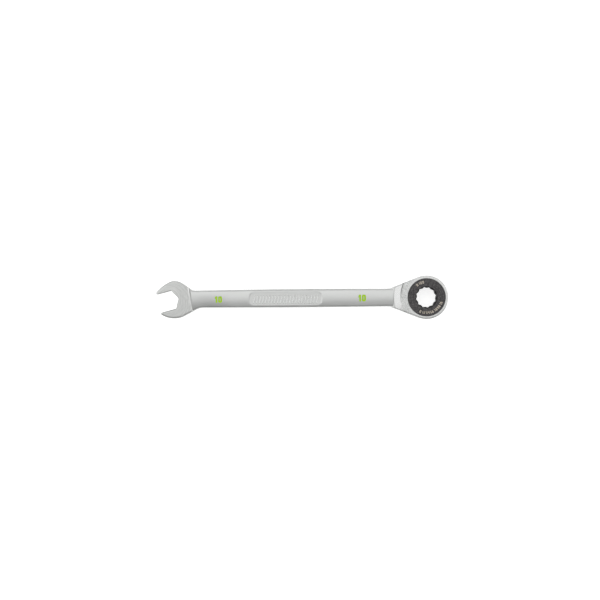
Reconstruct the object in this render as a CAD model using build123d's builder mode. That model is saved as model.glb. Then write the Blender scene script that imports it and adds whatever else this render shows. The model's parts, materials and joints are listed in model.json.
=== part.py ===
from build123d import *
import os
from math import cos, degrees, radians, sin, tan

# Ratcheting combination wrench for 10 mm fasteners, in millimetres.
# The origin is on the drive axis at the ring head's mid-plane. +Z is the front face,
# +X points to the ring's nose, and the shank runs along -X to the open jaw.

# Fastener
nut_size = 10.0
fastener_gap = 0.1
drive_size = nut_size + fastener_gap

# Ring head: a flat face inside a circle, then a conical ramp down to the shank
ring_radius = 12.1
ring_thickness = 9.0
ring_edge_radius = 0.95
flank_angle = 21.5
neck_fillet = 12.0
web_thickness = 3.0
web_edge_radius = 1.2
web_ends_x = (-26.0, -12.0)
ring_face_center_x = 5.8
ring_face_radius = 20.0
ramp_angle = 30.0
ring_blank_end_x = -19.2

# Shank
shank_thickness = 4.8
shank_crown_radius = 28.0
shank_edge_radius = 1.4
neck_half_width = 5.08
shank_middle = (-73.0, 5.28)
shank_blank_start_x = -16.2
neck_overlap = 5.0

# Open jaw: its own frame has x towards the shank and y across, with the nut's centre as origin
jaw_center = (-141.6, -1.1)
jaw_angle = 15.0
jaw_thickness = 6.2
jaw_edge_radius = 1.0
mouth_edge_break = 0.35
throat_radius = 1.6
throat_corner_radius = 0.5

# Points of the head's outline in the jaw's frame, and the radii of its corners
root_top_point = (14.5, 2.2)
heel_top_point = (10.2, 7.25)
brow_top_point = (7.3, 9.5)
crest_top_point = (3.9, 10.15)
cheek_top_point = (-0.6, 8.9)
lip_top_point = (-5.5, 6.2)
lip_bottom_point = (-5.9, -6.1)
cheek_bottom_point = (-1.5, -9.4)
heel_bottom_point = (4.9, -10.65)
root_bottom_point = (15.6, -8.26)
root_top_radius = 4.0
root_bottom_radius = 8.0
heel_top_radius = 5.0
heel_bottom_radius = 6.0
crest_radius = 6.0
lip_radius = 1.3

# The shoulder where the jaw's face steps down to the shank
shoulder_x = -129.2
shoulder_angle = 9.0
shoulder_radius = 1.0
shank_overlap_in_jaw = 0.6

# Stamped size numbers, with proportions to their height, and the middle panel
number_depth = 0.4
enamel_thickness = 0.28
number_stroke = 0.26
one_width_ratio = 0.38
zero_width_ratio = 0.6
digit_gap_ratio = 0.12
jaw_number = {"center": (-114.1, -0.45), "height": 3.6}
ring_number = {"center": (-35.2, -0.15), "height": 3.8}
panel_center = (-77.2, -0.25)
panel_length = 39.0
panel_width = 7.4
panel_corner_radius = 2.4
panel_depth = 0.27
panel_wall_taper = -70.0
rib_row_y = -0.65
rib_count = 22
rib_pitch = 1.65
rib_width = 0.8
rib_span = 4.5
rib_lean = 12.0
rib_height = 0.23
rib_wall_taper = 25.0

# Bores of the ring head: each step is a radius and the height where it starts, front to rear
flange_bore_radius = 10.45
flange_bore_floor = 3.0
chamber_radius = 9.25
chamber_floor = -2.4
journal_bore_radius = 7.85
journal_bore_floor = -3.3
washer_bore_radius = 8.9

# Ratchet gear
tooth_count = 72
tooth_tip_radius = 9.1
tooth_height = 0.35
steep_flank_angle = 25.0
gear_floor = -2.35
flange_radius = 10.38
flange_floor = 3.05
flange_top = 4.4
hub_radius = 7.8
hub_bottom = -4.4
drive_phase = 10.4
lead_in_radius = 6.0
lead_in_depth = 0.8
flange_chamfer = 0.2
clip_groove_radius = 7.2
clip_groove = (-4.15, -3.65)

# Pawl, with its own frame: x points away from the gear along its slide
pawl_angle = 170.0
pawl_length = 2.7
pawl_nose = 1.0
pawl_width = 5.0
pawl_height = 4.4
pawl_tooth_gap = 0.04
pawl_corner = 0.4
pocket_gap = 0.05
pocket_length = 3.4
spring_bore_radius = 1.1
spring_seat_in_pawl = 1.1
spring_seat_in_body = 5.4
spring_wire = 0.3
spring_mean_radius = 0.85
spring_pitch = 0.7
spring_end_gap = 0.1

# Rear retaining parts
washer_radii = (7.9, 8.8)
washer_heights = (-3.6, -3.3)
clip_radii = (7.25, 8.5)
clip_heights = (-4.12, -3.67)
clip_gap = 2.6


os.makedirs("parts", exist_ok=True)

jaw_plane = Plane(
    origin=(*jaw_center, 0),
    x_dir=(cos(radians(jaw_angle)), sin(radians(jaw_angle)), 0),
    z_dir=(0, 0, 1),
)
slide_direction = Vector(cos(radians(pawl_angle)), sin(radians(pawl_angle)), 0)
pawl_plane = Plane(origin=(-tooth_tip_radius, 0, 0), x_dir=slide_direction, z_dir=(0, 0, 1))
shoulder_direction = Vector(cos(radians(shoulder_angle)), sin(radians(shoulder_angle)), 0)


def jaw_point(along, across):
    """A point of the jaw's frame in the wrench's frame."""
    return jaw_plane.from_local_coords(Vector(along, across, 0))


def shoulder_plane(distance):
    """The plane parallel to the jaw's shoulder, at a distance from it towards the shank."""
    return Plane(origin=Vector(shoulder_x, 0, 0) + shoulder_direction * distance, z_dir=shoulder_direction)


def in_mouth(face):
    """Whether a face is one of the mouth's walls, all of which are nearer the nut's centre than the rim."""
    return abs(jaw_plane.to_local_coords(face.center())) < 2.1 * throat_corner


def along_shoulder(edge):
    """Whether an edge runs parallel to the shoulder's line."""
    return (edge % 0.5).cross(shoulder_plane(0).x_dir).length < 0.01


def slide_plane(distance):
    """The plane square to the pawl's slide, at a distance behind the pawl frame's origin."""
    return Plane(origin=pawl_plane.from_local_coords(Vector(distance, 0, 0)), z_dir=slide_direction)


def front_plane(height):
    """A plane parallel to the front face, seen from the front."""
    return Plane(origin=(0, 0, height), x_dir=(1, 0, 0), z_dir=(0, 0, 1))


def rear_plane(height):
    """The same plane behind the mid-plane, seen from the rear."""
    return Plane(origin=(0, 0, -height), x_dir=(-1, 0, 0), z_dir=(0, 0, -1))


def ratchet_outline(gap):
    """Closed line of saw teeth, moved out by a gap. The steep flank faces anticlockwise."""
    pitch = 360 / tooth_count
    tip_radius = tooth_tip_radius + gap
    root_radius = tip_radius - tooth_height
    steep_span = degrees(tooth_height * tan(radians(steep_flank_angle)) / tip_radius)
    points = []
    for tooth in range(tooth_count):
        root_angle = radians(tooth * pitch)
        tip_angle = radians((tooth + 1) * pitch - steep_span)
        points.append((root_radius * cos(root_angle), root_radius * sin(root_angle)))
        points.append((tip_radius * cos(tip_angle), tip_radius * sin(tip_angle)))
    return Polyline(*points, close=True)


def size_number(plane, mark):
    """The number 10 in plain strokes, at a mark's place on a face plane."""
    height = mark["height"]
    stroke = number_stroke * height
    zero_width = zero_width_ratio * height
    one_width = one_width_ratio * height
    gap = digit_gap_ratio * height
    center_x = mark["center"][0] * plane.x_dir.X
    center_y = mark["center"][1]
    left = center_x - (one_width + gap + zero_width) / 2
    one_right = left + one_width
    zero_center = one_right + gap + zero_width / 2
    top = center_y + height / 2
    bottom = center_y - height / 2
    with BuildSketch(plane) as number:
        with BuildLine():
            Polyline(
                (one_right, top),
                (one_right, bottom),
                (one_right - stroke, bottom),
                (one_right - stroke, top - 1.3 * stroke),
                (left, top - 1.7 * stroke),
                (left, top - 0.8 * stroke),
                (one_right - stroke, top),
                close=True,
            )
        make_face()
        with Locations((zero_center, center_y)):
            RectangleRounded(zero_width, height, stroke)
            SlotOverall(height - 2 * stroke, zero_width - 2 * stroke, rotation=90, mode=Mode.SUBTRACT)
    return number.sketch


# Corners of the wrench's outline, before the jaw's mouth is cut
flank = radians(flank_angle)
half_drive = drive_size / 2
throat_corner = half_drive * tan(radians(30))
flank_top = Vector(-ring_radius * sin(flank), ring_radius * cos(flank))
flank_bottom = Vector(flank_top.X, -flank_top.Y)
neck_x = -(ring_radius / cos(flank) - neck_half_width) / tan(flank)
neck_top = Vector(neck_x, neck_half_width)
neck_bottom = Vector(neck_x, -neck_half_width)
root_top = jaw_point(*root_top_point)
root_bottom = jaw_point(*root_bottom_point)
heel_top = jaw_point(*heel_top_point)
heel_bottom = jaw_point(*heel_bottom_point)
crest_top = jaw_point(*crest_top_point)
lip_top = jaw_point(*lip_top_point)
lip_bottom = jaw_point(*lip_bottom_point)


def wrench_outline(with_ring):
    """The outline seen from the front, with the ring head or with the shank running straight on."""
    with BuildSketch() as outline:
        with BuildLine():
            lower_side = ThreePointArc(neck_bottom, (shank_middle[0], -shank_middle[1]), root_bottom)
            Line(root_bottom, heel_bottom)
            ThreePointArc(heel_bottom, jaw_point(*cheek_bottom_point), lip_bottom)
            Line(lip_bottom, lip_top)
            ThreePointArc(lip_top, jaw_point(*cheek_top_point), crest_top)
            ThreePointArc(crest_top, jaw_point(*brow_top_point), heel_top)
            Line(heel_top, root_top)
            upper_side = ThreePointArc(root_top, shank_middle, neck_top)
            if with_ring:
                Line(neck_top, flank_top)
                ThreePointArc(flank_top, (ring_radius, 0), flank_bottom)
                Line(flank_bottom, neck_bottom)
            else:
                upper_end = neck_top + (upper_side % 1) * neck_overlap
                lower_end = neck_bottom - (lower_side % 0) * neck_overlap
                Polyline(neck_top, upper_end, lower_end, neck_bottom)
        make_face()
        rounded_corners = [
            (root_bottom, root_bottom_radius),
            (root_top, root_top_radius),
            (heel_bottom, heel_bottom_radius),
            (heel_top, heel_top_radius),
            (crest_top, crest_radius),
            (lip_bottom, lip_radius),
            (lip_top, lip_radius),
        ]
        if with_ring:
            rounded_corners += [(neck_bottom, neck_fillet), (neck_top, neck_fillet)]
        for corner, radius in rounded_corners:
            fillet(outline.vertices().sort_by_distance(corner)[0], radius=radius)
    return outline.sketch


outline = wrench_outline(True)

# Shank: the outline between two crowned faces, with its long edges rounded
with BuildPart() as shank_blank:
    extrude(wrench_outline(False), amount=ring_thickness / 2, both=True)
    with BuildSketch(Plane.YZ.offset(shank_blank_start_x)) as crowned_section:
        with Locations((0, shank_thickness / 2 - shank_crown_radius)):
            Circle(shank_crown_radius)
        with Locations((0, shank_crown_radius - shank_thickness / 2)):
            Circle(shank_crown_radius, mode=Mode.INTERSECT)
    extrude(amount=2 * jaw_center[0], mode=Mode.INTERSECT)
    jaw_end = shoulder_plane(-shank_overlap_in_jaw)
    split(bisect_by=jaw_end, keep=Keep.TOP)
    neck_end_face = shank_blank.faces().sort_by(Axis.X)[-1]
    jaw_end_face = shank_blank.faces().sort_by_distance(jaw_end.origin)[0]
    end_edges = neck_end_face.edges() + jaw_end_face.edges()
    long_edges = shank_blank.edges().filter_by(Axis.Z, reverse=True) - end_edges
    fillet(long_edges, radius=shank_edge_radius)

# Web: a thin plate between the ring head's flanks and the sides of the shank
with BuildPart() as web_blank:
    extrude(outline, amount=web_thickness / 2, both=True)
    for end_x, kept_side in zip(web_ends_x, (Keep.TOP, Keep.BOTTOM)):
        split(bisect_by=Plane(origin=(end_x, 0, 0), z_dir=(1, 0, 0)), keep=kept_side)
    end_edges = web_blank.faces().filter_by(Axis.X).edges()
    fillet(web_blank.edges().filter_by(Axis.Z, reverse=True) - end_edges, radius=web_edge_radius)

# Ring head: the outline between two flat faces that slope down to the shank as a cone
with BuildPart() as ring_blank:
    extrude(outline, amount=ring_thickness / 2, both=True)
    ramp_run = ring_thickness / 2 / tan(radians(ramp_angle))
    with BuildSketch(Plane.XZ) as ring_profile:
        with BuildLine():
            Polyline(
                (ring_face_center_x, ring_thickness / 2),
                (ring_face_center_x - ring_face_radius, ring_thickness / 2),
                (ring_face_center_x - ring_face_radius - ramp_run, 0),
                (ring_face_center_x - ring_face_radius, -ring_thickness / 2),
                (ring_face_center_x, -ring_thickness / 2),
                close=True,
            )
        make_face()
    revolve(axis=Axis((ring_face_center_x, 0, 0), (0, 0, 1)), mode=Mode.INTERSECT)
    split(bisect_by=Plane(origin=(ring_blank_end_x, 0, 0), z_dir=(1, 0, 0)), keep=Keep.TOP)
    end_edges = ring_blank.faces().sort_by(Axis.X)[0].edges()
    wall_edges = ring_blank.edges().filter_by(Axis.Z, reverse=True) - end_edges
    outer_edges = wall_edges.filter_by(lambda edge: abs(edge.center().Y) > 1 or edge.center().X > 0)
    fillet(outer_edges, radius=ring_edge_radius)

# Open jaw: a slab with rounded rims that steps down to the shank, with a milled mouth
with BuildPart() as jaw_blank:
    extrude(outline, amount=jaw_thickness / 2, both=True)
    split(bisect_by=shoulder_plane(0), keep=Keep.BOTTOM)
    fillet(jaw_blank.edges().filter_by(along_shoulder), radius=shoulder_radius)
    rims = jaw_blank.edges().filter_by(Axis.Z, reverse=True).filter_by(along_shoulder, reverse=True)
    fillet(rims, radius=jaw_edge_radius)
    with BuildSketch(jaw_plane) as mouth:
        with BuildLine():
            Polyline(
                (2 * throat_corner, 0),
                (throat_corner, half_drive),
                (-drive_size, half_drive),
                (-drive_size, -half_drive),
                (throat_corner, -half_drive),
                close=True,
            )
        make_face()
        fillet(mouth.vertices().sort_by_distance((2 * throat_corner, 0))[0], radius=throat_radius)
        for side in (half_drive, -half_drive):
            corner = mouth.vertices().sort_by_distance((throat_corner, side))[0]
            fillet(corner, radius=throat_corner_radius)
    extrude(amount=jaw_thickness, both=True, mode=Mode.SUBTRACT)
    mouth_walls = jaw_blank.faces().filter_by(Axis.Z, reverse=True).filter_by(in_mouth)
    mouth_rims = mouth_walls.edges().filter_by(lambda edge: abs(edge.center().Z) > 0.49 * jaw_thickness)
    chamfer(mouth_rims, length=mouth_edge_break)

# Wrench body: the blanks in one forging, then the bores, pocket, stampings and panels
with BuildPart() as wrench_body:
    add(shank_blank.part)
    add(web_blank.part)
    add(ring_blank.part)
    add(jaw_blank.part)
    with BuildSketch(Plane.XZ) as bore_profile:
        with BuildLine():
            Polyline(
                (0, ring_thickness / 2),
                (flange_bore_radius, ring_thickness / 2),
                (flange_bore_radius, flange_bore_floor),
                (chamber_radius, flange_bore_floor),
                (chamber_radius, chamber_floor),
                (journal_bore_radius, chamber_floor),
                (journal_bore_radius, journal_bore_floor),
                (washer_bore_radius, journal_bore_floor),
                (washer_bore_radius, -ring_thickness / 2),
                (0, -ring_thickness / 2),
                close=True,
            )
        make_face()
    revolve(axis=Axis.Z, mode=Mode.SUBTRACT)
    with BuildSketch(pawl_plane.offset(-pawl_height / 2 - pocket_gap)) as pocket:
        with BuildLine():
            Polyline(
                (-pocket_length / 2, -pawl_width / 2 - pocket_gap),
                (pocket_length, -pawl_width / 2 - pocket_gap),
                (pocket_length, pawl_width / 2 + pocket_gap),
                (-pocket_length / 2, pawl_width / 2 + pocket_gap),
                close=True,
            )
        make_face()
    extrude(amount=pawl_height + 2 * pocket_gap, mode=Mode.SUBTRACT)
    with BuildSketch(slide_plane(0)) as spring_bore:
        Circle(spring_bore_radius)
    extrude(amount=spring_seat_in_body, mode=Mode.SUBTRACT)
    for face_plane in (front_plane, rear_plane):
        face_height = shank_thickness / 2
        panel_place_x = panel_center[0] * face_plane(0).x_dir.X
        with BuildSketch(face_plane(face_height - panel_depth)) as panel:
            with Locations((panel_place_x, panel_center[1])):
                RectangleRounded(panel_length, panel_width, panel_corner_radius)
        extrude(amount=panel_depth, taper=panel_wall_taper, mode=Mode.SUBTRACT)
        with BuildSketch(face_plane(face_height - panel_depth)) as ribs:
            with Locations((panel_place_x, rib_row_y)):
                with GridLocations(rib_pitch, 0, rib_count, 1):
                    Rectangle(rib_width, rib_span, rotation=-rib_lean)
        extrude(amount=rib_height, taper=rib_wall_taper)
        for mark in (jaw_number, ring_number):
            number = size_number(face_plane(face_height - number_depth), mark)
            extrude(number, amount=number_depth, mode=Mode.SUBTRACT)

wrench_body.part.label = "wrench_body"
export_step(wrench_body.part, "parts/wrench_body.step")

# Ratchet gear: front flange, saw teeth, plain hub with a groove for the ring, and the 12-point bore
with BuildPart() as ratchet_gear:
    with BuildSketch(Plane.XY.offset(gear_floor)) as teeth:
        with BuildLine():
            ratchet_outline(0)
        make_face()
    extrude(amount=flange_floor - gear_floor)
    with BuildSketch(Plane.XY.offset(flange_floor)) as flange:
        Circle(flange_radius)
    extrude(amount=flange_top - flange_floor)
    chamfer(ratchet_gear.faces().sort_by(Axis.Z)[-1].edges(), length=flange_chamfer)
    with BuildSketch(Plane.XY.offset(hub_bottom)) as hub:
        Circle(hub_radius)
    extrude(amount=gear_floor - hub_bottom)
    with BuildSketch(Plane.XY.offset(clip_groove[0])) as groove:
        Circle(hub_radius)
        Circle(clip_groove_radius, mode=Mode.SUBTRACT)
    extrude(amount=clip_groove[1] - clip_groove[0], mode=Mode.SUBTRACT)
    with BuildSketch(Plane.XY.offset(hub_bottom)) as drive_bore:
        for turn in (drive_phase, drive_phase + 30):
            RegularPolygon(drive_size / 2, 6, major_radius=False, rotation=turn)
    extrude(amount=flange_top - hub_bottom, mode=Mode.SUBTRACT)
    with BuildSketch(Plane.XZ) as lead_in:
        for face, inward in ((flange_top, -1), (hub_bottom, 1)):
            with BuildLine():
                Polyline(
                    (0, face),
                    (lead_in_radius, face),
                    (lead_in_radius - lead_in_depth, face + inward * lead_in_depth),
                    (0, face + inward * lead_in_depth),
                    close=True,
                )
            make_face()
    revolve(axis=Axis.Z, mode=Mode.SUBTRACT)

ratchet_gear.part.label = "ratchet_gear"
export_step(ratchet_gear.part, "parts/ratchet_gear.step")

# Pawl: a block whose front face has the gear's teeth, with a blind hole for the spring
with BuildPart() as pawl:
    with BuildSketch(pawl_plane.offset(-pawl_height / 2)) as block:
        with Locations(((pawl_length - pawl_nose) / 2, 0)):
            Rectangle(pawl_length + pawl_nose, pawl_width)
    extrude(amount=pawl_height)
    rear_corners = pawl.edges().filter_by(Axis.Z).sort_by_distance((0, 0, 0))[-2:]
    chamfer(rear_corners, length=pawl_corner)
    with BuildSketch(Plane.XY.offset(-pawl_height / 2)) as mating_teeth:
        with BuildLine():
            ratchet_outline(pawl_tooth_gap)
        make_face()
    extrude(amount=pawl_height, mode=Mode.SUBTRACT)
    with BuildSketch(slide_plane(pawl_length)) as spring_hole:
        Circle(spring_bore_radius)
    extrude(amount=spring_seat_in_pawl - pawl_length, mode=Mode.SUBTRACT)

pawl.part.label = "pawl"
export_step(pawl.part, "parts/pawl.step")

# Pawl spring: a coil along the slide, between the pawl and the bottom of the body's spring bore
with BuildPart() as pawl_spring:
    spring_start = slide_plane(spring_seat_in_pawl + spring_end_gap + spring_wire / 2)
    coil_length = spring_seat_in_body - spring_seat_in_pawl - 2 * spring_end_gap - spring_wire
    with BuildLine() as coil_line:
        coil = Helix(spring_pitch, coil_length, spring_mean_radius, spring_start.origin, slide_direction)
    with BuildSketch(Plane(origin=coil @ 0, z_dir=coil % 0)) as wire:
        Circle(spring_wire / 2)
    sweep(path=coil_line.line, is_frenet=True)

pawl_spring.part.label = "pawl_spring"
export_step(pawl_spring.part, "parts/pawl_spring.step")

# Thrust washer: a plain ring between the body's rear step and the retaining ring
with BuildPart() as thrust_washer:
    with BuildSketch(Plane.XY.offset(washer_heights[0])) as washer_ring:
        Circle(washer_radii[1])
        Circle(washer_radii[0], mode=Mode.SUBTRACT)
    extrude(amount=washer_heights[1] - washer_heights[0])

thrust_washer.part.label = "thrust_washer"
export_step(thrust_washer.part, "parts/thrust_washer.step")

# Retaining ring: an open snap ring in the hub's groove
with BuildPart() as retaining_ring:
    with BuildSketch(Plane.XY.offset(clip_heights[0])) as clip:
        Circle(clip_radii[1])
        Circle(clip_radii[0], mode=Mode.SUBTRACT)
        with Locations((clip_radii[1], 0)):
            Rectangle(clip_radii[1], clip_gap, mode=Mode.SUBTRACT)
    extrude(amount=clip_heights[1] - clip_heights[0])

retaining_ring.part.label = "retaining_ring"
export_step(retaining_ring.part, "parts/retaining_ring.step")

# Enamel in the stamped numbers, a little below the shank's surface
for face_name, face_plane in (("front", front_plane), ("back", rear_plane)):
    for end_name, mark in (("jaw", jaw_number), ("ring", ring_number)):
        with BuildPart() as enamel:
            floor = shank_thickness / 2 - number_depth
            extrude(size_number(face_plane(floor), mark), amount=enamel_thickness)
        node = f"size_mark_{end_name}_{face_name}"
        enamel.part.label = node
        export_step(enamel.part, f"parts/{node}.step")
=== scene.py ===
import json
from math import cos, degrees, pi, radians, sin

import bmesh
import bpy
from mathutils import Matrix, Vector


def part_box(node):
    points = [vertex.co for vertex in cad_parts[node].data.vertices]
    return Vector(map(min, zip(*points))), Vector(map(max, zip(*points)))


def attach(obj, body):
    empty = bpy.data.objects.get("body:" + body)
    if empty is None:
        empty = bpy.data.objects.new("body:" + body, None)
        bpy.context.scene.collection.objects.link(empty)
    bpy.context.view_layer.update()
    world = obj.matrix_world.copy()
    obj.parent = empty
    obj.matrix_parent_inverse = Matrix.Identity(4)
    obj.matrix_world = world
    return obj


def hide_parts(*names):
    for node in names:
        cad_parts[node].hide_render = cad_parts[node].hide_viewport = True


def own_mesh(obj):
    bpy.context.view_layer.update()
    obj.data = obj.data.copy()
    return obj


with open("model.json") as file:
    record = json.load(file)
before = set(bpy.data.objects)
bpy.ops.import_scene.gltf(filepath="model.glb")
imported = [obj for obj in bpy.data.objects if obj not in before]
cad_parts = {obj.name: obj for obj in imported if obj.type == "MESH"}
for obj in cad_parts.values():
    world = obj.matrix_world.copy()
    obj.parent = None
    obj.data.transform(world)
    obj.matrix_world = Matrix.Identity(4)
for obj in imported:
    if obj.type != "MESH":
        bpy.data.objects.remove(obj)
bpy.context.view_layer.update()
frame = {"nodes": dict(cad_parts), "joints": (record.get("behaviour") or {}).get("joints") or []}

MM = 0.001

# Places on the wrench, worked out from the frame, in metres
BODY_LOW, BODY_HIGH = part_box("wrench_body")
_, GEAR_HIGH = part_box("ratchet_gear")
BODY_MIDDLE = (BODY_LOW + BODY_HIGH) / 2
FLANGE_RADIUS = GEAR_HIGH.x
FLANGE_TOP = GEAR_HIGH.z
_, NUMBER_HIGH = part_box("size_mark_jaw_front")
ENAMEL_DEPTH = 0.12 * MM
SHANK_TOP = NUMBER_HIGH.z + ENAMEL_DEPTH

# The floor of the shank's middle panel, and the row of ribs on it
PANEL_DEPTH = 0.27 * MM
PANEL_FLOOR = SHANK_TOP - PANEL_DEPTH
RIB_ROW = Vector((-77.2, -0.65, 0)) * MM
RIB_ROW_HALF_LENGTH = 18.4 * MM
RIB_ROW_HALF_WIDTH = 2.5 * MM

# The gear's bore at its widest, and the spacing of the tool lines on its flange
BORE_RADIUS = 5.95 * MM
TURNING_PITCH = 0.22 * MM

# The jaw's shoulder, which leans by an angle, and the nut's centre in the jaw
SHOULDER_X = -129.2 * MM
SHOULDER_ANGLE = radians(9)
JAW_CENTER = Vector((-141.6, -1.1, 0)) * MM

# The ring head's face and ramp are rounds about one axis
RAMP_CENTER_X = 5.8 * MM
FACE_EDGE_RADIUS = 20.0 * MM
RAMP_FOOT_RADIUS = 23.7 * MM
RAMP_FADE_X = (-13.0 * MM, -14.0 * MM)

# The polished rim round the head's bore fades out towards the shank
RIM_START_RADIUS = 10.5 * MM
RIM_FULL_RADIUS = 10.7 * MM
RIM_FADE_X = (-10.0 * MM, -6.0 * MM)

# Painted shade: beside the jaw the shank's colour is darkened, away from the high edge
SHADE_FADE_X = (-107.0 * MM, -118.0 * MM)
SHADE_FADE_Y = (3.2 * MM, 1.2 * MM)
SHADE_SHOULDER_X = (-128.5 * MM, -122.0 * MM)

# Painted shade just outside the jaw's shoulder and a painted highlight just inside it, both stronger on
# the high side.
# A line is full up to its core and gone past its reach
SHADE_LINE = 0.12 * MM
HIGHLIGHT_LINE = -0.6 * MM
CREASE_CORE = 0.12 * MM
CREASE_REACH = 0.42 * MM
HIGH_SIDE_Y = (-3.5 * MM, 4.0 * MM)
SOFT_EDGE = 0.1 * MM

# The pawl's spring lies along the pawl's slide, between two places behind the gear's teeth
PAWL_SLIDE = next(joint for joint in frame["joints"] if joint["name"] == "pawl_slide")
SLIDE_AXIS = Vector(PAWL_SLIDE["axis"]).normalized()
TOOTH_TIPS = Vector((-9.1, 0, 0)) * MM
SPRING_START = TOOTH_TIPS + SLIDE_AXIS * 1.2 * MM
SPRING_END = TOOTH_TIPS + SLIDE_AXIS * 5.3 * MM
SPRING_MEAN_RADIUS = 0.85 * MM
SPRING_WIRE = 0.3 * MM
SPRING_TURNS = 6
STEPS_PER_TURN = 24
WIRE_SIDES = 10

# Camera: straight above the wrench, a little off its middle
CAMERA_AIM = BODY_MIDDLE + Vector((-1.2, -1.0, 0)) * MM
CAMERA_HEIGHT = 0.8256
CAMERA_LENS = 90.0
CAMERA_ROLL = radians(-0.4)

# Laser marks on the gear's flange: numerals as seven strokes, each named by a letter
MARK_THICKNESS = 0.01 * MM
MARK_LIFT = 0.004 * MM
STROKES_OF_DIGIT = {
    "0": "abcdef",
    "1": "bc",
    "2": "abged",
    "3": "abgcd",
    "4": "fgbc",
    "5": "afgcd",
    "6": "afgedc",
    "7": "abc",
    "8": "abcdefg",
    "9": "abcdfg",
}
DIGIT_WIDTH = 0.58
DIGIT_STROKE = 0.19
DIGIT_SPACING = 0.86

# Each row of marks: numerals, middle angle, radius, height, and whether their tops point outwards
MARK_ROWS = (
    ("0100", 115.0, 8.46 * MM, 1.4 * MM, True),
    ("0123456789876", 293.0, 8.45 * MM, 1.35 * MM, False),
)

# Stage
FLOOR_RADIUS = 4.0
FLOOR_GAP = 0.02 * MM
LIGHT_AIM = Vector((-0.07, 0, 0))


def object_from_bmesh(name, mesh_data):
    """Turns a bmesh into an object in the scene."""
    mesh = bpy.data.meshes.new(name)
    mesh_data.to_mesh(mesh)
    mesh_data.free()
    piece = bpy.data.objects.new(name, mesh)
    bpy.context.scene.collection.objects.link(piece)
    return piece


# ---------------------------------------------------------------- materials


class Nodes:
    """A short way to build a material's node tree."""

    def __init__(self, name):
        self.material = bpy.data.materials.new(name)
        self.material.use_nodes = True
        self.tree = self.material.node_tree
        self.shader = self.tree.nodes["Principled BSDF"]
        coordinates = self.add("ShaderNodeTexCoord").outputs
        self.place = coordinates["Object"]
        self.facing = coordinates["Normal"]

    def add(self, kind, **inputs):
        node = self.tree.nodes.new(kind)
        for name, value in inputs.items():
            setattr(node, name, value)
        return node

    def join(self, source, target):
        self.tree.links.new(source, target)

    def math(self, operation, first, second=0.0, third=0.0):
        node = self.add("ShaderNodeMath", operation=operation)
        for socket, value in zip(node.inputs, (first, second, third)):
            if isinstance(value, (int, float)):
                socket.default_value = value
            else:
                self.join(value, socket)
        return node.outputs[0]

    def stretched(self, scale):
        node = self.add("ShaderNodeMapping")
        node.inputs["Scale"].default_value = scale
        self.join(self.place, node.inputs["Vector"])
        return node.outputs["Vector"]

    def noise(self, scale, detail=2.0, roughness=0.5, vector=None):
        node = self.add("ShaderNodeTexNoise")
        node.inputs["Scale"].default_value = scale
        node.inputs["Detail"].default_value = detail
        node.inputs["Roughness"].default_value = roughness
        self.join(vector or self.place, node.inputs["Vector"])
        return node.outputs["Fac"]

    def spread(self, value, low, high, out_low=0.0, out_high=1.0):
        """Maps a value from one range to another, held at the ends."""
        node = self.add("ShaderNodeMapRange")
        node.inputs["From Min"].default_value = low
        node.inputs["From Max"].default_value = high
        node.inputs["To Min"].default_value = out_low
        node.inputs["To Max"].default_value = out_high
        self.join(value, node.inputs["Value"])
        return node.outputs["Result"]

    def mix(self, factor, first, second):
        node = self.add("ShaderNodeMix", data_type="RGBA")
        self.join(factor, node.inputs["Factor"])
        for name, value in (("A", first), ("B", second)):
            socket = next(s for s in node.inputs if s.name == name and s.type == "RGBA")
            if isinstance(value, tuple):
                socket.default_value = (*value, 1.0)
            else:
                self.join(value, socket)
        return next(s for s in node.outputs if s.type == "RGBA")

    def bump(self, height, distance, under=None):
        node = self.add("ShaderNodeBump")
        node.inputs["Distance"].default_value = distance
        self.join(height, node.inputs["Height"])
        if under is not None:
            self.join(under, node.inputs["Normal"])
        return node.outputs["Normal"]

    def separated(self, vector):
        """The three values of a vector. A place on the wrench is in metres."""
        parts = self.add("ShaderNodeSeparateXYZ")
        self.join(vector, parts.inputs[0])
        return parts.outputs["X"], parts.outputs["Y"], parts.outputs["Z"]

    def combined(self, *values):
        node = self.add("ShaderNodeCombineXYZ")
        for socket, value in zip(node.inputs, values):
            if isinstance(value, float):
                socket.default_value = value
            else:
                self.join(value, socket)
        return node.outputs[0]

    def crease(self, place, middle):
        """A thin line, full at one place and gone on both sides of it."""
        away = self.math("ABSOLUTE", self.math("SUBTRACT", place, middle))
        return self.spread(away, CREASE_REACH, CREASE_CORE)

    def near(self, place, middle, reach):
        """One at the places within reach of the middle, zero beyond them."""
        away = self.math("ABSOLUTE", self.math("SUBTRACT", place, middle))
        return self.spread(away, reach + SOFT_EDGE, reach)

    def distance(self, center_x=0.0, center_y=0.0):
        """Distance from an upright axis, in metres."""
        x, y, _ = self.separated(self.place)
        along = self.math("SUBTRACT", x, center_x)
        across = self.math("SUBTRACT", y, center_y)
        squares = self.math("MULTIPLY", along, along)
        return self.math("SQRT", self.math("MULTIPLY_ADD", across, across, squares))


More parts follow.
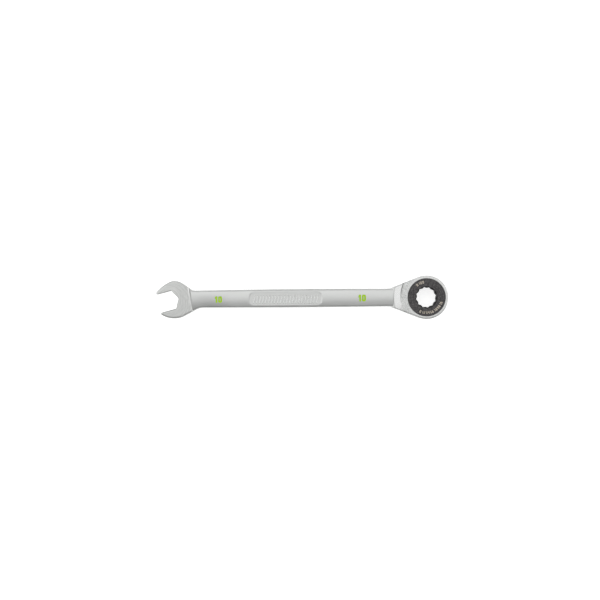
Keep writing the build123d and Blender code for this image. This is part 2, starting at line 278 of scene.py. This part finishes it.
def satin_chrome():
    """Satin chrome: pearl-blasted grain on the ring head, polishing lines along the shank, rounds of the
    grinding belt on the jaw's face, a smoother finish on the head's ramp and on the rubbed ribs, a paler
    rim, painted shade on the low side of the shank beside the jaw, duller forged side walls, a painted
    highlight just inside the jaw's shoulder, and painted shade lines in the creases where the faces meet."""
    m = Nodes("satin_chrome")
    x, y, z = m.separated(m.place)
    height = m.math("ABSOLUTE", z)
    upright = m.math("ABSOLUTE", m.separated(m.facing)[2])
    on_wall = m.spread(upright, 0.45, 0.15)
    leaning = m.math("MULTIPLY_ADD", y, sin(SHOULDER_ANGLE), -SHOULDER_X * cos(SHOULDER_ANGLE))
    past_shoulder = m.math("MULTIPLY_ADD", x, cos(SHOULDER_ANGLE), leaning)
    ramp_radius = m.distance(RAMP_CENTER_X)
    on_jaw = m.spread(past_shoulder, 0.0, -0.5 * MM)
    on_ring = m.spread(ramp_radius, RAMP_FOOT_RADIUS, RAMP_FOOT_RADIUS - 0.2 * MM)
    on_shank = m.math("SUBTRACT", 1.0, m.math("ADD", on_jaw, on_ring))
    below_face = m.spread(height, BODY_HIGH.z - 0.05 * MM, BODY_HIGH.z - 0.15 * MM)
    towards_shank = m.spread(x, *RAMP_FADE_X)
    on_ramp = m.math("MULTIPLY", m.math("MULTIPLY", on_ring, below_face), towards_shank)
    on_blasted = m.math("SUBTRACT", on_ring, on_ramp)
    past_rim = m.spread(m.distance(), RIM_START_RADIUS, RIM_FULL_RADIUS)
    on_rim = m.math("MULTIPLY", past_rim, m.spread(x, *RIM_FADE_X))
    above_floor = m.spread(height, PANEL_FLOOR + 0.1 * MM, PANEL_FLOOR + 0.16 * MM)
    along_row = m.near(x, RIB_ROW.x, RIB_ROW_HALF_LENGTH)
    across_row = m.near(y, RIB_ROW.y, RIB_ROW_HALF_WIDTH)
    on_ribs = m.math("MULTIPLY", above_floor, m.math("MULTIPLY", along_row, across_row))

    grain = m.noise(5200, 3.0, 0.6)
    mottle = m.noise(1700, 4.0, 0.65)
    clouds = m.noise(70, 3.0, 0.5)
    lines = m.noise(1.0, 2.0, 0.6, m.stretched((90, 2600, 2600)))
    belt_radius = m.distance(JAW_CENTER.x, JAW_CENTER.y)
    belt = m.noise(1800, 5.0, 0.68, m.combined(belt_radius, m.math("MULTIPLY", y, 0.16), 0.0))

    colour = m.mix(clouds, (0.715, 0.725, 0.712), (0.775, 0.785, 0.772))
    speckle = m.spread(mottle, 0.38, 0.62)
    blasted = m.mix(speckle, (0.56, 0.57, 0.56), (0.94, 0.95, 0.935))
    colour = m.mix(m.math("MULTIPLY", on_blasted, 0.8), colour, blasted)
    ground = m.mix(m.spread(belt, 0.36, 0.64), (0.58, 0.59, 0.575), (0.79, 0.80, 0.785))
    colour = m.mix(m.math("MULTIPLY", on_jaw, 0.8), colour, ground)
    # Painted shade: the low side of the shank is darkened beside the jaw, easing off just before the
    # shoulder
    shade_beside_jaw = m.math("MULTIPLY", m.spread(x, *SHADE_FADE_X), m.spread(y, *SHADE_FADE_Y))
    darker = m.math("MULTIPLY", on_shank, m.spread(x, *SHADE_SHOULDER_X, 0.12, 0.4))
    colour = m.mix(m.math("MULTIPLY", shade_beside_jaw, darker), colour, (0.50, 0.51, 0.50))
    colour = m.mix(on_ramp, colour, (0.70, 0.705, 0.70))
    colour = m.mix(m.math("MULTIPLY", on_rim, 0.5), colour, (0.93, 0.93, 0.92))
    high_side = m.spread(y, *HIGH_SIDE_Y)
    # Painted highlight: a pale line just inside the jaw's shoulder, stronger on the high side
    painted_highlight = m.math("MULTIPLY", m.crease(past_shoulder, HIGHLIGHT_LINE), m.math("MULTIPLY", high_side, 0.8))
    colour = m.mix(painted_highlight, colour, (0.95, 0.95, 0.94))
    # Painted shade: dark lines in the creases just outside the jaw's shoulder, at the ring face's edge
    # and at the ramp's foot
    corners = (
        (m.crease(past_shoulder, SHADE_LINE), m.math("MULTIPLY", high_side, 0.55)),
        (m.crease(ramp_radius, FACE_EDGE_RADIUS), m.math("MULTIPLY", high_side, 0.75)),
        (m.crease(ramp_radius, RAMP_FOOT_RADIUS), 0.3),
    )
    for line, strength in corners:
        colour = m.mix(m.math("MULTIPLY", line, strength), colour, (0.10, 0.10, 0.10))
    forged = m.mix(m.spread(mottle, 0.3, 0.7), (0.45, 0.46, 0.455), (0.51, 0.52, 0.51))
    colour = m.mix(on_wall, colour, forged)
    m.join(colour, m.shader.inputs["Base Color"])

    rough = m.spread(clouds, 0.3, 0.7, 0.36, 0.41)
    rough = m.math("ADD", rough, m.spread(grain, 0.3, 0.7, -0.03, 0.03))
    polished = m.math("MAXIMUM", on_ramp, on_ribs)
    rough = m.math("MULTIPLY_ADD", polished, -0.13, rough)
    m.join(rough, m.shader.inputs["Roughness"])

    relief = m.math("MULTIPLY", lines, m.math("MULTIPLY", on_shank, 0.10))
    relief = m.math("MULTIPLY_ADD", belt, m.math("MULTIPLY", on_jaw, 0.9), relief)
    flat_grain = m.math("MULTIPLY", m.math("SUBTRACT", on_blasted, on_wall), 0.5)
    relief = m.math("MULTIPLY_ADD", mottle, m.math("MAXIMUM", flat_grain, 0.12), relief)
    coarse = m.bump(relief, 0.02 * MM)
    m.join(m.bump(grain, 0.003 * MM, under=coarse), m.shader.inputs["Normal"])
    m.shader.inputs["Metallic"].default_value = 1.0
    return m.material


def black_oxide():
    """Black oxide on a turned face: concentric tool lines, and paler metal where edges have rubbed."""
    m = Nodes("black_oxide")
    radius = m.distance()
    turning = m.math("SINE", m.math("MULTIPLY", radius, 2 * pi / TURNING_PITCH))
    clouds = m.noise(160, 3.0, 0.55)
    grain = m.noise(4200, 2.0, 0.6)
    mottle = m.noise(1700, 3.0, 0.6)
    colour = m.mix(clouds, (0.058, 0.056, 0.059), (0.084, 0.081, 0.081))
    colour = m.mix(m.math("MULTIPLY", m.spread(mottle, 0.42, 0.66), 0.6), colour, (0.215, 0.207, 0.206))
    rim = m.spread(radius, FLANGE_RADIUS - 0.35 * MM, FLANGE_RADIUS - 0.05 * MM)
    worn = m.math("MULTIPLY", rim, m.spread(clouds, 0.45, 0.7, 0.0, 0.6))
    colour = m.mix(worn, colour, (0.26, 0.26, 0.26))
    in_bore = m.spread(radius, BORE_RADIUS + 0.1 * MM, BORE_RADIUS)
    colour = m.mix(in_bore, colour, (0.045, 0.045, 0.045))
    m.join(colour, m.shader.inputs["Base Color"])
    rough = m.math("MULTIPLY_ADD", in_bore, 0.25, m.spread(grain, 0.3, 0.7, 0.34, 0.46))
    m.join(rough, m.shader.inputs["Roughness"])
    lined = m.bump(turning, 0.0012 * MM)
    m.join(m.bump(grain, 0.003 * MM, under=lined), m.shader.inputs["Normal"])
    m.shader.inputs["Metallic"].default_value = 0.85
    return m.material


def ground_steel(name, dark, light, line_scale):
    """Bare steel of the inner pieces: ground or drawn lines and a film of oil."""
    m = Nodes(name)
    lines = m.noise(1.0, 2.0, 0.6, m.stretched(line_scale))
    clouds = m.noise(400, 2.0, 0.5)
    m.join(m.mix(clouds, dark, light), m.shader.inputs["Base Color"])
    m.join(m.spread(lines, 0.3, 0.7, 0.22, 0.36), m.shader.inputs["Roughness"])
    m.join(m.bump(lines, 0.002 * MM), m.shader.inputs["Normal"])
    m.shader.inputs["Metallic"].default_value = 1.0
    return m.material


def lime_enamel():
    """Lime-green enamel: glossy fill with slight unevenness from wiping."""
    m = Nodes("lime_enamel")
    clouds = m.noise(900, 3.0, 0.55)
    m.join(m.mix(clouds, (0.46, 0.80, 0.003), (0.56, 0.92, 0.008)), m.shader.inputs["Base Color"])
    m.join(m.spread(clouds, 0.3, 0.7, 0.30, 0.42), m.shader.inputs["Roughness"])
    m.join(m.bump(clouds, 0.01 * MM), m.shader.inputs["Normal"])
    return m.material


def laser_mark():
    """A laser-burnt mark: pale warm grey, matt and slightly speckled."""
    m = Nodes("laser_mark")
    grain = m.noise(6000, 2.0, 0.7)
    m.join(m.mix(grain, (0.66, 0.58, 0.47), (0.92, 0.83, 0.70)), m.shader.inputs["Base Color"])
    m.join(m.spread(grain, 0.3, 0.7, 0.5, 0.7), m.shader.inputs["Roughness"])
    m.shader.inputs["Metallic"].default_value = 0.2
    return m.material


def floor_paint():
    """A plain pale floor, light enough to read as white."""
    m = Nodes("floor_paint")
    m.shader.inputs["Base Color"].default_value = (0.82, 0.82, 0.82, 1)
    m.shader.inputs["Roughness"].default_value = 0.9
    m.shader.inputs["Emission Color"].default_value = (1, 1, 1, 1)
    m.shader.inputs["Emission Strength"].default_value = 0.78
    return m.material


def paint(piece, material):
    """Gives a piece one material, in every slot that it has."""
    if not piece.data.materials:
        piece.data.materials.append(material)
    for index in range(len(piece.data.materials)):
        piece.data.materials[index] = material


# ---------------------------------------------------------------- laser marks


def flange_plate(mesh_data, corners):
    """A thin raised plate on the flange. Each corner is a radius in metres and an angle in degrees."""
    low = FLANGE_TOP + MARK_LIFT
    rings = []
    for height in (low, low + MARK_THICKNESS):
        ring = []
        for radius, angle in corners:
            place = (radius * cos(radians(angle)), radius * sin(radians(angle)), height)
            ring.append(mesh_data.verts.new(place))
        rings.append(ring)
    mesh_data.faces.new(reversed(rings[0]))
    mesh_data.faces.new(rings[1])
    count = len(corners)
    for i in range(count):
        j = (i + 1) % count
        mesh_data.faces.new((rings[0][i], rings[0][j], rings[1][j], rings[1][i]))


def strokes(digit, height):
    """The strokes of a numeral: left, right, bottom and top of each, from its middle."""
    half_width = DIGIT_WIDTH * height / 2
    half = height / 2
    stroke = DIGIT_STROKE * height
    inner = half_width - stroke
    places = {
        "a": (-inner, inner, half - stroke, half),
        "b": (inner, half_width, 0, half),
        "c": (inner, half_width, -half, 0),
        "d": (-inner, inner, -half, stroke - half),
        "e": (-half_width, -inner, -half, 0),
        "f": (-half_width, -inner, 0, half),
        "g": (-inner, inner, -stroke / 2, stroke / 2),
    }
    return [places[letter] for letter in STROKES_OF_DIGIT[digit]]


def arc_number(mesh_data, digits, middle_angle, radius, height, tops_outwards):
    """Numerals in a row bent round the flange, read from the front, with their tops out or in."""
    way = 1 if tops_outwards else -1
    step = way * degrees(DIGIT_SPACING * height / radius)
    first_angle = middle_angle + step * (len(digits) - 1) / 2
    for i, digit in enumerate(digits):
        digit_angle = first_angle - i * step
        for left, right, bottom, top in strokes(digit, height):
            low, high = radius + way * bottom, radius + way * top
            a, b = digit_angle - way * degrees(left / radius), digit_angle - way * degrees(right / radius)
            flange_plate(mesh_data, ((low, a), (low, b), (high, b), (high, a)))


def make_laser_marks(material):
    """Two rows of plain numerals, as one piece that turns with the gear."""
    mesh_data = bmesh.new()
    for row in MARK_ROWS:
        arc_number(mesh_data, *row)
    bmesh.ops.recalc_face_normals(mesh_data, faces=mesh_data.faces)
    marks = object_from_bmesh("flange_laser_marks", mesh_data)
    paint(marks, material)
    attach(marks, "ratchet_gear")


# ---------------------------------------------------------------- pawl spring


def coil_rise(turn):
    """How far along the spring its wire is after some turns, as a share. The end turns are closed."""
    free_length = (SPRING_END - SPRING_START).length - SPRING_WIRE
    closed = SPRING_WIRE / free_length
    if turn < 1:
        return turn * closed
    if turn > SPRING_TURNS - 1:
        return 1 - (SPRING_TURNS - turn) * closed
    return closed + (turn - 1) / (SPRING_TURNS - 2) * (1 - 2 * closed)


def make_pawl_spring(material):
    """The coil behind the pawl, one fixed mesh attached to the wrench in place of the pawl_spring part.
    """
    upright = Vector((0, 0, 1))
    level = SLIDE_AXIS.cross(upright)
    first = SPRING_START + SLIDE_AXIS * SPRING_WIRE / 2
    last = SPRING_END - SLIDE_AXIS * SPRING_WIRE / 2
    middles = []
    for step in range(SPRING_TURNS * STEPS_PER_TURN + 1):
        turn = step / STEPS_PER_TURN
        outwards = level * cos(2 * pi * turn) + upright * sin(2 * pi * turn)
        middles.append((first.lerp(last, coil_rise(turn)) + outwards * SPRING_MEAN_RADIUS, outwards))
    mesh_data = bmesh.new()
    rings = []
    for index, (middle, outwards) in enumerate(middles):
        ahead = middles[min(index + 1, len(middles) - 1)][0]
        behind = middles[max(index - 1, 0)][0]
        across = (ahead - behind).normalized().cross(outwards).normalized()
        ring = []
        for side in range(WIRE_SIDES):
            angle = 2 * pi * side / WIRE_SIDES
            offset = (outwards * cos(angle) + across * sin(angle)) * SPRING_WIRE / 2
            ring.append(mesh_data.verts.new(middle + offset))
        rings.append(ring)
    for ring, following in zip(rings, rings[1:]):
        for side in range(WIRE_SIDES):
            beside = (side + 1) % WIRE_SIDES
            mesh_data.faces.new((ring[side], ring[beside], following[beside], following[side]))
    mesh_data.faces.new(reversed(rings[0]))
    mesh_data.faces.new(rings[-1])
    bmesh.ops.recalc_face_normals(mesh_data, faces=mesh_data.faces)
    for face in mesh_data.faces:
        face.smooth = len(face.verts) == 4
    spring = object_from_bmesh("pawl_spring_coil", mesh_data)
    paint(spring, material)
    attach(spring, "wrench")
    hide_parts("pawl_spring")
    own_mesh(spring)


# ---------------------------------------------------------------- stage


def make_floor():
    """A wide plain floor just below the ring head, which is the thickest part."""
    mesh_data = bmesh.new()
    bmesh.ops.create_circle(mesh_data, cap_ends=True, segments=96, radius=FLOOR_RADIUS)
    bmesh.ops.translate(mesh_data, verts=mesh_data.verts, vec=(0, 0, BODY_LOW.z - FLOOR_GAP))
    floor = object_from_bmesh("floor", mesh_data)
    paint(floor, floor_paint())


def area_light(name, place, size, power):
    """A soft rectangular light that faces the wrench. Sizes in metres, power in watts."""
    data = bpy.data.lights.new(name, "AREA")
    data.shape = "RECTANGLE"
    data.size, data.size_y = size
    data.energy = power
    lamp = bpy.data.objects.new(name, data)
    lamp.location = place
    lamp.rotation_euler = (LIGHT_AIM - Vector(place)).to_track_quat("-Z", "Y").to_euler()
    lamp.visible_camera = False
    bpy.context.scene.collection.objects.link(lamp)


def make_lights():
    """A broad overhead light set back from the front edge, one at each end, and a low one behind."""
    area_light("overhead", (-0.10, 0.36, 1.15), (1.6, 1.0), 3.8)
    area_light("left", (-1.45, 0.15, 0.85), (1.4, 1.4), 5.2)
    area_light("right", (1.35, 0.10, 0.75), (1.2, 1.2), 3.9)
    area_light("back", (-0.07, 1.50, 0.50), (1.6, 0.5), 1.2)
    world = bpy.data.worlds.new("studio")
    world.use_nodes = True
    background = world.node_tree.nodes["Background"]
    background.inputs["Color"].default_value = (1.0, 1.0, 1.0, 1)
    background.inputs["Strength"].default_value = 0.31
    bpy.context.scene.world = world


def make_camera():
    data = bpy.data.cameras.new("camera")
    data.lens = CAMERA_LENS
    data.clip_start, data.clip_end = 0.05, 20.0
    camera = bpy.data.objects.new("camera", data)
    camera.location = (CAMERA_AIM.x, CAMERA_AIM.y, CAMERA_HEIGHT)
    camera.rotation_euler = (0, 0, CAMERA_ROLL)
    bpy.context.scene.collection.objects.link(camera)
    bpy.context.scene.camera = camera
    bpy.context.scene.view_settings.view_transform = "Standard"


make_camera()
make_lights()
make_floor()

chrome = satin_chrome()
enamel = lime_enamel()
hardened = ground_steel("hardened_steel", (0.36, 0.36, 0.37), (0.50, 0.50, 0.51), (300, 3000, 300))
spring_steel = ground_steel("spring_steel", (0.30, 0.30, 0.32), (0.42, 0.42, 0.44), (1500, 1500, 3000))
node_materials = {
    "wrench_body": chrome,
    "ratchet_gear": black_oxide(),
    "pawl": hardened,
    "thrust_washer": hardened,
    "pawl_spring": spring_steel,
    "retaining_ring": spring_steel,
    "size_mark_jaw_front": enamel,
    "size_mark_ring_front": enamel,
    "size_mark_jaw_back": enamel,
    "size_mark_ring_back": enamel,
}
for name, material in node_materials.items():
    paint(frame["nodes"][name], material)
make_laser_marks(laser_mark())
make_pawl_spring(spring_steel)
